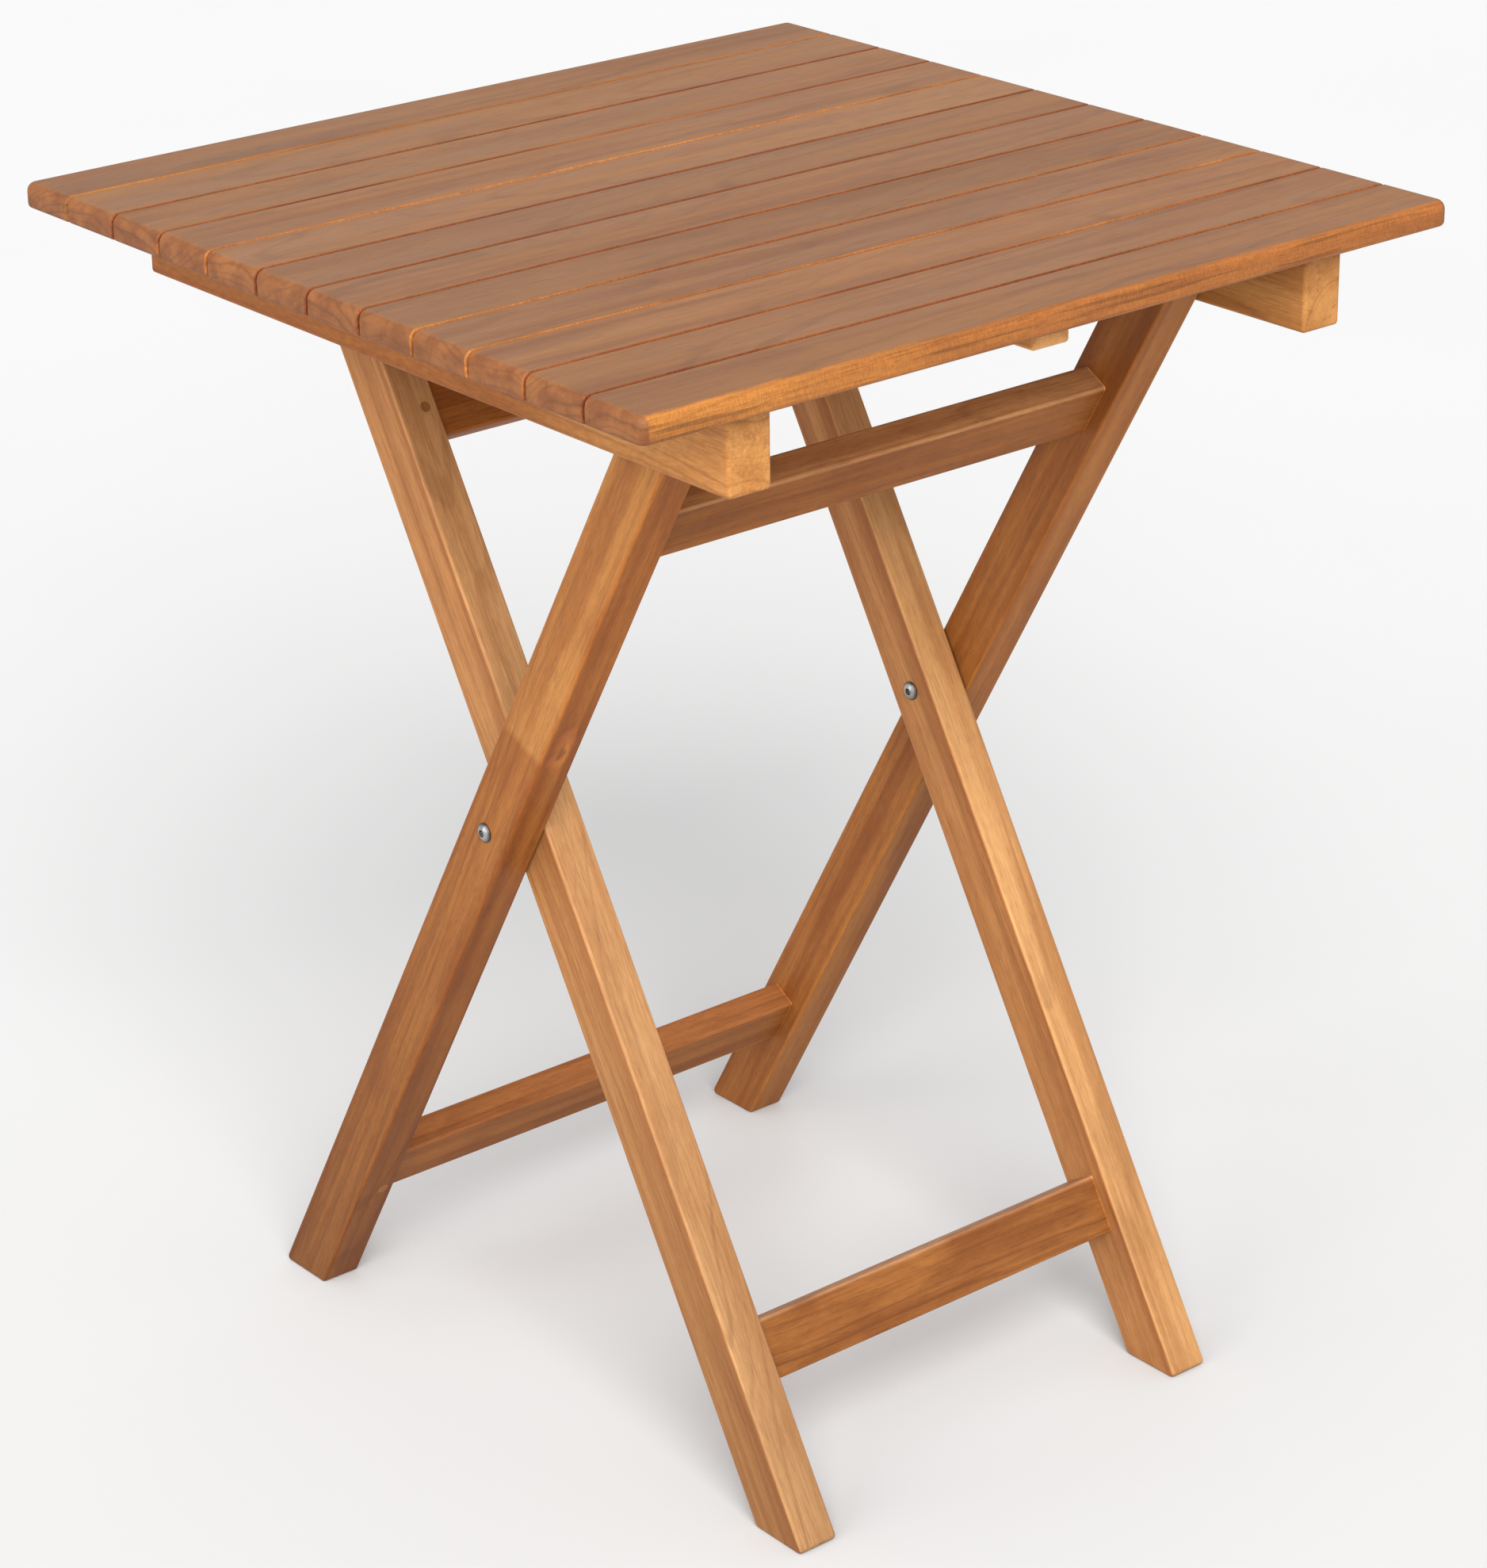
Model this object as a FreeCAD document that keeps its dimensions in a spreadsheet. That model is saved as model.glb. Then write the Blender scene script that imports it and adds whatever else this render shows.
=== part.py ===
"""Folding picnic table in hardwood: a square slatted top on two crossed leg frames.

Frame of reference: millimetres, +Z up, floor at Z = 0, origin under the middle of the top.
The slats run along X. -Y is the near edge of the top and +Y the far edge.

The outer frame has its feet at the far side and carries the top on two pivots near the near edge.
The inner frame has its feet at the near side and its leg tops under the far half of the top.
"""

import FreeCAD, Part
import math
import os
import Sketcher

SIZES = [
    ("table_height", 750, "floor to the upper face of the slats"),
    ("slat_count", 12, "number of slats"),
    ("slat_length", 600, "along X"),
    ("slat_width", 48, "along Y"),
    ("slat_gap", 2, "open seam between two slats"),
    ("slat_thickness", 16, "along Z"),
    ("top_roundover", 6, "radius of the upper edge around the top"),
    ("under_roundover", 3, "radius of the lower edge around the top"),
    ("top_corner", 6.5, "radius of the top's four corners in plan"),
    ("seam_easing", 1.2, "radius on the seam edges of a slat"),
    ("batten_face", 200, "inner face of a side batten, from the middle"),
    ("batten_thickness", 29.5, "along X"),
    ("batten_depth", 49.5, "side batten, below the slats"),
    ("batten_near_inset", 18, "batten end to the near edge of the top"),
    ("batten_far_inset", 24, "batten end to the far edge of the top"),
    ("middle_batten_width", 28, "along X"),
    ("middle_batten_depth", 14.5, "below the slats"),
    ("batten_easing", 2.5, "radius on batten edges"),
    ("cleat_width", 22, "stop cleat, along Y"),
    ("cleat_end_gap", 0.25, "cleat end to the batten beside it"),
    ("screw_pitch", 47, "screws along each batten, one to a slat"),
    ("screw_shank", 2, "shank radius"),
    ("screw_head", 3.8, "head radius"),
    ("screw_head_height", 2.4, "along the screw"),
    ("screw_grip", 9, "wood between the screw head and the slat"),
    ("screw_bite", 9, "screw length inside the slat"),
    ("screw_clearance", 0.05, "radial gap around a shank"),
    ("pilot_spare", 0.3, "pilot hole beyond a screw's tip"),
    ("counterbore", 4.6, "radius of the hole that sinks a screw head"),
    ("pivot_place", 7, "leg pivot, towards the near edge from the middle"),
    ("pivot_height", 395, "leg pivot above the floor"),
    ("outer_lean", 29.8, "degrees from upright"),
    ("inner_lean", 30.4, "degrees from upright"),
    ("leg_width", 38, "across the leg in side view"),
    ("leg_thickness", 28, "along X"),
    ("leg_easing", 2, "radius on leg edges"),
    ("leg_top_round", 18.6, "radius of the outer leg tops"),
    ("foot_round", 3, "radius on the heel and toe of a foot"),
    ("outer_face", 170, "inner face of an outer leg, from the middle"),
    ("inner_face", 140.8, "inner face of an inner leg, from the middle"),
    ("top_pivot_drop", 24, "top pivot below the slats"),
    ("rest_gap", 0.3, "inner leg top to the slat above it"),
    ("seat_depth", 11, "upright seat cut on the far side of an inner leg top"),
    ("rail_width", 38, "along the leg"),
    ("rail_thickness", 20.5, "across the leg"),
    ("rail_inset", 10.2, "rail face behind the leg's upward face"),
    ("rail_easing", 2, "radius on rail edges"),
    ("upper_rail", 253, "upper rail centre from the pivot, along the leg"),
    ("lower_rail", 348.5, "lower rail centre from the pivot, along the leg"),
    ("tenon_length", 18.5, "into the leg"),
    ("tenon_width", 26, "along the leg"),
    ("tenon_thickness", 10.5, "across the leg"),
    ("tenon_gap", 0.1, "glue gap around a tenon"),
    ("peg_radius", 3.5, "wooden peg through each tenon"),
    ("peg_place", 8.7, "peg centre from the leg's inner face"),
    ("peg_length", 30, "from one edge of the leg, stopping short of the other"),
    ("peg_gap", 0.05, "glue gap around a peg"),
    ("pivot_radius", 4, "barrel and shoulder radius of the pivots"),
    ("running_gap", 0.05, "radial gap around a pivot"),
    ("face_gap", 0.1, "gap beside a head or washer that turns on wood"),
    ("head_radius", 6.15, "pivot heads"),
    ("head_height", 3, "pivot heads"),
    ("head_rim", 0.6, "straight rim of a pivot head"),
    ("socket_size", 2.3, "centre to corner of the hexagon socket"),
    ("socket_depth", 1.5, "hexagon socket"),
    ("thread_radius", 3, "bolt thread inside the barrel nut"),
    ("thread_gap", 0.05, "radial gap between the bolt and the barrel nut"),
    ("barrel_short", 3, "barrel nut end below the outer leg's face"),
    ("thread_reach", 46, "bolt length under the head"),
    ("washer_radius", 9, "washers between turning faces"),
    ("insert_radius", 5.5, "threaded insert in a side batten"),
    ("insert_length", 20, "threaded insert in a side batten"),
    ("insert_hole", 22, "depth of the hole for the insert"),
    ("insert_gap", 0.05, "radial glue gap around the insert"),
    ("top_bolt_reach", 17, "top pivot bolt length inside the insert"),
]

LEFT, RIGHT = -1, 1
NAMES = {LEFT: "left", RIGHT: "right"}
HEXAGON_CORNERS = 6

# The edge of a frame's legs that its pegs are driven from: -1 for the near edge and 1 for the far edge.
PEG_EDGES = {("outer", "upper"): 1, ("outer", "lower"): -1, ("inner", "upper"): -1, ("inner", "lower"): 1}

# Lengths worked out from the sheet, as expressions.
SLAT_UNDERSIDE = "(sizes.table_height - sizes.slat_thickness)"
SLAT_PITCH = "(sizes.slat_width + sizes.slat_gap)"
TOP_DEPTH = f"(sizes.slat_count * {SLAT_PITCH} - sizes.slat_gap)"
HALF_LEG = "(sizes.leg_width / 2)"
TOP_PIVOT_RISE = f"({SLAT_UNDERSIDE} - sizes.top_pivot_drop - sizes.pivot_height)"
TOP_PIVOT_REACH = f"({TOP_PIVOT_RISE} / cos(sizes.outer_lean))"
TOP_PIVOT_Y = f"(-sizes.pivot_place - {TOP_PIVOT_RISE} * tan(sizes.outer_lean))"
TOP_PIVOT_Z = f"({SLAT_UNDERSIDE} - sizes.top_pivot_drop)"
INNER_TOP_RISE = f"({SLAT_UNDERSIDE} - sizes.rest_gap - sizes.pivot_height)"
SEAT_Y = (
    f"({INNER_TOP_RISE} * tan(sizes.inner_lean) + {HALF_LEG} / cos(sizes.inner_lean)"
    " - sizes.seat_depth * tan(sizes.inner_lean))"
)
PIVOT_HOLE = "(sizes.pivot_radius + sizes.running_gap)"

doc = FreeCAD.newDocument("folding_picnic_table")
sheet = doc.addObject("Spreadsheet::Sheet", "sizes")
parts = []


def fill_sheet():
    """One row to a size: its name, its value and what it is."""
    for row, (alias, value, note) in enumerate(SIZES, start=1):
        sheet.set(f"A{row}", alias)
        sheet.set(f"B{row}", str(value))
        sheet.set(f"C{row}", note)
        sheet.setAlias(f"B{row}", alias)
    doc.recompute()


def number(expression):
    """The present value of an expression."""
    return float(sheet.evalExpression(str(expression)))


def new_body(label):
    """An empty body that becomes one sub-part."""
    body = doc.addObject("PartDesign::Body", label)
    body.Label = label
    parts.append(body)
    return body


def place(body, x="0", y="0", z="0", lean="0"):
    """Puts a body at a point, turned about X by lean degrees, and ties both to the sheet."""
    turn = FreeCAD.Rotation(FreeCAD.Vector(1, 0, 0), number(lean))
    body.Placement = FreeCAD.Placement(FreeCAD.Vector(number(x), number(y), number(z)), turn)
    for axis, expression in zip("xyz", (x, y, z)):
        body.setExpression(f"Placement.Base.{axis}", str(expression))


def origin_plane(body, role):
    """One of the body's own origin planes."""
    return next(item for item in body.Origin.OriginFeatures if item.Role == role)


def new_sketch(body, name, role, lift=None):
    """A sketch on an origin plane, raised along the plane's normal by lift."""
    sketch = body.newObject("Sketcher::SketchObject", name)
    sketch.AttachmentSupport = (origin_plane(body, role), [""])
    sketch.MapMode = "FlatFace"
    if lift is not None:
        sketch.AttachmentOffset = FreeCAD.Placement(
            FreeCAD.Vector(0, 0, number(lift)), FreeCAD.Rotation()
        )
        sketch.setExpression("AttachmentOffset.Base.z", str(lift))
    return sketch


def hold(sketch, kind, geometry, point, expression):
    """Holds one coordinate of a sketch point to an expression, measured from the sketch's origin."""
    value = number(expression)
    if abs(value) < 1e-9:
        axis = -2 if kind == "DistanceX" else -1
        sketch.addConstraint(Sketcher.Constraint("PointOnObject", geometry, point, axis))
        return
    if value > 0:
        row = sketch.addConstraint(Sketcher.Constraint(kind, -1, 1, geometry, point, value))
        sketch.setExpression(f"Constraints[{row}]", str(expression))
        return
    row = sketch.addConstraint(Sketcher.Constraint(kind, geometry, point, -1, 1, -value))
    sketch.setExpression(f"Constraints[{row}]", f"-({expression})")


def outline(body, name, role, corners, dome=None, lift=None):
    """A closed outline through corners, pairs of expressions. dome names a side that is an arc centred
    on the sketch's horizontal axis, as (side number, a point on the arc)."""
    sketch = new_sketch(body, name, role, lift)
    points = [FreeCAD.Vector(number(x), number(y), 0) for x, y in corners]
    count = len(points)
    ends = [(1, 2)] * count
    for side in range(count):
        start, end = points[side], points[(side + 1) % count]
        if dome and dome[0] == side:
            middle = FreeCAD.Vector(*dome[1], 0)
            if (middle - start).cross(end - middle).z < 0:
                # Arcs run anticlockwise, so a clockwise one is drawn from its other end.
                start, end = end, start
                ends[side] = (2, 1)
            sketch.addGeometry(Part.Arc(start, middle, end), False)
        else:
            sketch.addGeometry(Part.LineSegment(start, end), False)
    for side in range(count):
        following = (side + 1) % count
        sketch.addConstraint(
            Sketcher.Constraint("Coincident", side, ends[side][1], following, ends[following][0])
        )
    for side, pair in enumerate(corners):
        for kind, expression in zip(("DistanceX", "DistanceY"), pair):
            hold(sketch, kind, side, ends[side][0], expression)
    if dome:
        sketch.addConstraint(Sketcher.Constraint("PointOnObject", dome[0], 3, -1))
    return sketch


def circle(body, name, role, x, y, radius, lift=None):
    """A sketch with one circle."""
    sketch = new_sketch(body, name, role, lift)
    centre = FreeCAD.Vector(number(x), number(y), 0)
    normal = FreeCAD.Vector(0, 0, 1)
    sketch.addGeometry(Part.Circle(centre, normal, number(radius)), False)
    row = sketch.addConstraint(Sketcher.Constraint("Radius", 0, number(radius)))
    sketch.setExpression(f"Constraints[{row}]", str(radius))
    hold(sketch, "DistanceX", 0, 3, x)
    hold(sketch, "DistanceY", 0, 3, y)
    return sketch


def pad(body, sketch, length, reverse=False, symmetric=False):
    """Pads a sketch and adds it to the body."""
    feature = body.newObject("PartDesign::Pad", f"{sketch.Name}_pad")
    feature.Profile = sketch
    feature.SideType = "Symmetric" if symmetric else "One side"
    feature.Reversed = reverse
    feature.setExpression("Length", str(length))
    doc.recompute()
    return feature


def pocket(body, sketch, length, reverse=False, symmetric=False):
    """Cuts a sketch out of the body and makes sure that it removed wood or metal."""
    before = body.Shape.Volume
    feature = body.newObject("PartDesign::Pocket", f"{sketch.Name}_pocket")
    feature.Profile = sketch
    feature.SideType = "Symmetric" if symmetric else "One side"
    feature.Reversed = reverse
    feature.setExpression("Length", str(length))
    doc.recompute()
    if body.Shape.Volume >= before - 1e-6:
        raise RuntimeError(f"{feature.Label} cut nothing from {body.Label}")
    return feature


def revolve(body, sketch):
    """Turns a profile once around the sketch's own horizontal axis."""
    feature = body.newObject("PartDesign::Revolution", f"{sketch.Name}_turn")
    feature.Profile = sketch
    feature.ReferenceAxis = (sketch, ["H_Axis"])
    feature.Angle = 360
    doc.recompute()
    return feature


def repeat(body, originals, axis_role, length, count):
    """A straight pattern of features along one of the body's own axes, length end to end."""
    feature = body.newObject("PartDesign::LinearPattern", f"{originals[0].Name}_row")
    feature.Originals = originals
    feature.Direction = (origin_plane(body, axis_role), [""])
    feature.setExpression("Length", str(length))
    feature.setExpression("Occurrences", str(count))
    body.Tip = feature
    doc.recompute()
    return feature


def fillet(body, radius, wanted):
    """Rounds the edges of the body that wanted picks by their bounding box."""
    base = body.Tip
    names = [
        f"Edge{index}"
        for index, edge in enumerate(base.Shape.Edges, start=1)
        if wanted(edge.BoundBox)
    ]
    feature = body.newObject("PartDesign::Fillet", f"{body.Name}_round")
    feature.Base = (base, names)
    feature.setExpression("Radius", str(radius))
    doc.recompute()
    return feature


def near(first, second):
    """Equal to a hundredth of a millimetre."""
    return abs(first - second) < 0.01


def slat_offset(index):
    """Centre of a slat along Y."""
    return f"(({index} - (sizes.slat_count - 1) / 2) * {SLAT_PITCH})"


def make_slat(index, count):
    """One slat. The first and last carry the rounded near and far edges of the top."""
    body = new_body(f"slat_{index + 1:02d}")
    half_length, half_width = "sizes.slat_length / 2", "sizes.slat_width / 2"
    corners = [
        (f"-{half_length}", f"-{half_width}"),
        (half_length, f"-{half_width}"),
        (half_length, half_width),
        (f"-{half_length}", half_width),
    ]
    pad(body, outline(body, f"plan_{index}", "XY_Plane", corners), "sizes.slat_thickness")
    end, side, top = number(half_length), number(half_width), number("sizes.slat_thickness")
    outer = {0: -side, count - 1: side}.get(index)
    if outer is not None:
        fillet(
            body,
            "sizes.top_corner",
            lambda box: near(box.YMin, outer) and near(box.YMax, outer) and near(box.XLength, 0),
        )

    def on_rim(box):
        at_end = near(abs(box.XMin + box.XMax) / 2, end) and near(box.XLength, 0)
        at_side = outer is not None and near(box.YMin, outer) and near(box.YMax, outer)
        corner = outer is not None and box.XLength > 1 and box.YLength > 1
        return near(box.ZLength, 0) and (at_end or at_side or corner)

    fillet(body, "sizes.top_roundover", lambda box: near(box.ZMin, top) and on_rim(box))
    fillet(body, "sizes.under_roundover", lambda box: near(box.ZMax, 0) and on_rim(box))
    seams = [value for value in (-side, side) if value != outer]
    fillet(
        body,
        "sizes.seam_easing",
        lambda box: near(box.YLength, 0)
        and any(near(box.YMin, value) for value in seams)
        and box.ZMin > 0.01
        and not near(box.ZLength, top),
    )
    for number_along, x in enumerate(batten_lines()):
        hole = circle(
            body,
            f"pilot_{index}_{number_along}",
            "XY_Plane",
            x,
            f"({index} - (sizes.slat_count - 1) / 2) * (sizes.screw_pitch - {SLAT_PITCH})",
            "sizes.screw_shank + sizes.screw_clearance",
        )
        pocket(body, hole, "sizes.screw_bite + sizes.pilot_spare", reverse=True)
    place(body, y=slat_offset(index), z=SLAT_UNDERSIDE)


def batten_lines():
    """Centre lines of the three battens along X: left, middle and right."""
    side = "(sizes.batten_face + sizes.batten_thickness / 2)"
    return [f"-{side}", "0", side]


def drill_screw_row(body, depth):
    """Screw holes with a counterbore in the underside, one under each slat."""
    first = "-(sizes.slat_count - 1) / 2 * sizes.screw_pitch"
    span = "(sizes.slat_count - 1) * sizes.screw_pitch"
    shank = circle(
        body, f"{body.Name}_shank", "XY_Plane", "0", first, "sizes.screw_shank + sizes.screw_clearance"
    )
    through = pocket(body, shank, depth, reverse=True)
    bore = circle(body, f"{body.Name}_bore", "XY_Plane", "0", first, "sizes.counterbore")
    wide = pocket(body, bore, f"{depth} - sizes.screw_grip", reverse=True)
    repeat(body, [through, wide], "Y_Axis", span, "sizes.slat_count")


def make_batten(label, x, width, depth, side=None):
    """A batten under the slats, along Y. A side batten also takes the top pivot's insert."""
    body = new_body(label)
    near_end = f"-{TOP_DEPTH} / 2 + sizes.batten_near_inset"
    far_end = f"{TOP_DEPTH} / 2 - sizes.batten_far_inset"
    corners = [
        (f"-{width} / 2", near_end),
        (f"{width} / 2", near_end),
        (f"{width} / 2", far_end),
        (f"-{width} / 2", far_end),
    ]
    pad(body, outline(body, f"{label}_plan", "XY_Plane", corners), depth)
    top = number(depth)
    fillet(body, "sizes.batten_easing", lambda box: not near(box.ZMin, top))
    drill_screw_row(body, depth)
    if side is not None:
        hole = circle(
            body,
            f"{label}_insert_hole",
            "YZ_Plane",
            TOP_PIVOT_Y,
            f"{depth} - sizes.top_pivot_drop",
            "sizes.insert_radius + sizes.insert_gap",
            lift=f"-{side} * {width} / 2",
        )
        pocket(body, hole, "sizes.insert_hole", reverse=side == RIGHT)
    place(body, x=x, z=f"{SLAT_UNDERSIDE} - {depth}")


def make_screw_row(label, x):
    """The screws of one batten: pan heads below, shanks up into the slats."""
    body = new_body(label)
    body.AllowCompound = True
    first = "-(sizes.slat_count - 1) / 2 * sizes.screw_pitch"
    span = "(sizes.slat_count - 1) * sizes.screw_pitch"
    head = circle(body, f"{label}_head", "XY_Plane", "0", first, "sizes.screw_head")
    shank = circle(body, f"{label}_shank", "XY_Plane", "0", first, "sizes.screw_shank")
    features = [
        pad(body, head, "sizes.screw_head_height", reverse=True),
        pad(body, shank, "sizes.screw_grip + sizes.screw_bite"),
    ]
    repeat(body, features, "Y_Axis", span, "sizes.slat_count")
    place(body, x=x, z=f"{SLAT_UNDERSIDE} - sizes.screw_grip")


def make_cleat(side):
    """A stop cleat across the top: the seats of the inner legs bear against its near face."""
    body = new_body(f"stop_cleat_{NAMES[side]}")
    inside = f"{side} * (sizes.middle_batten_width / 2 + sizes.cleat_end_gap)"
    outside = f"{side} * (sizes.batten_face - sizes.cleat_end_gap)"
    corners = [
        (inside, "0"),
        (outside, "0"),
        (outside, "sizes.cleat_width"),
        (inside, "sizes.cleat_width"),
    ]
    plan = outline(body, f"cleat_plan_{NAMES[side]}", "XY_Plane", corners)
    pad(body, plan, "sizes.middle_batten_depth")
    fillet(body, "sizes.rail_easing", lambda box: near(box.ZMax, 0) and box.XLength > 1)
    place(
        body,
        y=f"-sizes.pivot_place + {SEAT_Y} + sizes.rest_gap",
        z=f"{SLAT_UNDERSIDE} - sizes.middle_batten_depth",
    )


def on_slope(rise, across, lean):
    """Distance along a leaning leg to the height rise, at a place across the leg. lean is signed."""
    return f"(({rise}) - ({across}) * sin({lean})) / cos({lean})"


def outer_leg_corners():
    """Side view of an outer leg, (across, along) from the leg pivot, leaning by outer_lean."""
    lean = "sizes.outer_lean"
    top = f"({TOP_PIVOT_REACH} + {HALF_LEG})"
    return [
        (f"-{HALF_LEG}", on_slope("-sizes.pivot_height", f"-{HALF_LEG}", lean)),
        (HALF_LEG, on_slope("-sizes.pivot_height", HALF_LEG, lean)),
        (HALF_LEG, top),
        (f"-{HALF_LEG}", top),
    ]


def inner_leg_corners():
    """Side view of an inner leg: level foot, level top under the slats and an upright seat."""
    lean = "-sizes.inner_lean"
    rise = INNER_TOP_RISE
    seat_across = f"({SEAT_Y} * cos(sizes.inner_lean) - {rise} * sin(sizes.inner_lean))"
    seat_along = f"({SEAT_Y} * sin(sizes.inner_lean) + {rise} * cos(sizes.inner_lean))"
    return [
        (f"-{HALF_LEG}", on_slope("-sizes.pivot_height", f"-{HALF_LEG}", lean)),
        (HALF_LEG, on_slope("-sizes.pivot_height", HALF_LEG, lean)),
        (HALF_LEG, on_slope(f"{rise} - sizes.seat_depth", HALF_LEG, lean)),
        (seat_across, seat_along),
        (f"-{HALF_LEG}", on_slope(rise, f"-{HALF_LEG}", lean)),
    ]


def rail_across():
    """Near and far faces of the rails, measured across the leg from its middle."""
    upward = f"({HALF_LEG} - sizes.rail_inset)"
    return f"-{upward}", f"(sizes.rail_thickness - {upward})"


def rail_lines():
    """Centres of a frame's two rails along the leg, from the leg pivot."""
    return {"upper": "sizes.upper_rail", "lower": "-sizes.lower_rail"}


def rectangle(low_x, high_x, low_y, high_y):
    """Corners of an upright rectangle."""
    return [(low_x, low_y), (high_x, low_y), (high_x, high_y), (low_x, high_y)]


def frame_lean(frame):
    """Signed turn about X that leans a frame's legs."""
    return "sizes.outer_lean" if frame == "outer" else "-sizes.inner_lean"


def place_in_frame(body, frame, x="0"):
    """Puts a piece drawn in a frame's own axes, (across, along) the legs, where the frame stands."""
    place(body, x=x, y="-sizes.pivot_place", z="sizes.pivot_height", lean=frame_lean(frame))


def make_leg(frame, side):
    """One leg, with its mortises, peg holes and pivot holes. It is drawn from its inner face."""
    body = new_body(f"{frame}_leg_{NAMES[side]}")
    corners = outer_leg_corners() if frame == "outer" else inner_leg_corners()
    profile = outline(body, f"{body.Name}_profile", "YZ_Plane", corners)
    pad(body, profile, "sizes.leg_thickness", reverse=side == LEFT)
    if frame == "outer":
        top = number(f"{TOP_PIVOT_REACH} + {HALF_LEG}")
        fillet(body, "sizes.leg_top_round", lambda box: near(box.ZMin, top) and near(box.YLength, 0))
    fillet(
        body,
        "sizes.foot_round",
        lambda box: box.ZMax < 0 and near(box.YLength, 0) and near(box.ZLength, 0),
    )
    fillet(body, "sizes.leg_easing", lambda box: near(box.XLength, 0))
    face_near, face_far = rail_across()
    middle = f"(({face_near} + {face_far}) / 2)"
    half_thick = "(sizes.tenon_thickness / 2 + sizes.tenon_gap)"
    half_wide = "(sizes.tenon_width / 2 + sizes.tenon_gap)"
    for level, along in rail_lines().items():
        mortise = rectangle(
            f"{middle} - {half_thick}",
            f"{middle} + {half_thick}",
            f"{along} - {half_wide}",
            f"{along} + {half_wide}",
        )
        sketch = outline(body, f"{body.Name}_{level}_mortise", "YZ_Plane", mortise)
        pocket(body, sketch, "sizes.tenon_length + sizes.tenon_gap", reverse=side == RIGHT)
        edge = PEG_EDGES[frame, level]
        peg = circle(
            body,
            f"{body.Name}_{level}_peg",
            "XZ_Plane",
            f"{side} * sizes.peg_place",
            along,
            "sizes.peg_radius + sizes.peg_gap",
            lift=f"-{edge} * {HALF_LEG}",
        )
        pocket(body, peg, "sizes.peg_length", reverse=edge > 0)
    bore = circle(body, f"{body.Name}_pivot", "YZ_Plane", "0", "0", PIVOT_HOLE)
    pocket(body, bore, "sizes.leg_thickness", reverse=side == RIGHT)
    if frame == "outer":
        bore = circle(body, f"{body.Name}_top_pivot", "YZ_Plane", "0", TOP_PIVOT_REACH, PIVOT_HOLE)
        pocket(body, bore, "sizes.leg_thickness", reverse=side == RIGHT)
    place_in_frame(body, frame, x=f"{side} * sizes.{frame}_face")


def make_rail(frame, level, along):
    """A flat rail between two legs of a frame, with a tenon and peg hole at each end."""
    body = new_body(f"{frame}_{level}_rail")
    face_near, face_far = rail_across()
    half_width = "sizes.rail_width / 2"
    shoulders = rectangle(face_near, face_far, f"{along} - {half_width}", f"{along} + {half_width}")
    board = outline(body, f"{body.Name}_board", "YZ_Plane", shoulders)
    pad(body, board, f"2 * sizes.{frame}_face", symmetric=True)
    fillet(body, "sizes.rail_easing", lambda box: box.XLength > 1)
    middle = f"(({face_near} + {face_far}) / 2)"
    tenon = rectangle(
        f"{middle} - sizes.tenon_thickness / 2",
        f"{middle} + sizes.tenon_thickness / 2",
        f"{along} - sizes.tenon_width / 2",
        f"{along} + sizes.tenon_width / 2",
    )
    tongue = outline(body, f"{body.Name}_tenons", "YZ_Plane", tenon)
    pad(body, tongue, f"2 * (sizes.{frame}_face + sizes.tenon_length)", symmetric=True)
    for side in (LEFT, RIGHT):
        peg = circle(
            body,
            f"{body.Name}_peg_{NAMES[side]}",
            "XZ_Plane",
            f"{side} * (sizes.{frame}_face + sizes.peg_place)",
            along,
            "sizes.peg_radius + sizes.peg_gap",
        )
        pocket(body, peg, "2 * sizes.leg_width", symmetric=True)
    place_in_frame(body, frame)


def make_peg(frame, level, along, side):
    """A wooden peg that locks one tenon, flush with the edge of the leg that it is driven from."""
    body = new_body(f"{frame}_{level}_peg_{NAMES[side]}")
    edge = PEG_EDGES[frame, level]
    lift = f"-{edge} * {HALF_LEG}"
    ring = circle(body, f"{body.Name}_end", "XZ_Plane", "0", along, "sizes.peg_radius", lift=lift)
    pad(body, ring, "sizes.peg_length", reverse=edge < 0)
    place_in_frame(body, frame, x=f"{side} * (sizes.{frame}_face + sizes.peg_place)")


def make_ring(label, start, end, hole, radius):
    """A washer or sleeve around the X axis, from start to end. Returns its body, not yet placed."""
    body = new_body(label)
    profile = rectangle(start, end, hole, radius)
    revolve(body, outline(body, f"{label}_profile", "XZ_Plane", profile))
    return body


def cut_socket(body, name, face, inward):
    """A hexagon socket in a head whose outer face is at face; inward is the sign of the cut along X."""
    corners = [
        (
            f"sizes.socket_size * {math.cos(math.radians(60 * corner)):.6f}",
            f"sizes.socket_size * {math.sin(math.radians(60 * corner)):.6f}",
        )
        for corner in range(HEXAGON_CORNERS)
    ]
    sketch = outline(body, name, "YZ_Plane", corners, lift=face)
    pocket(body, sketch, "sizes.socket_depth", reverse=inward > 0)


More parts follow.
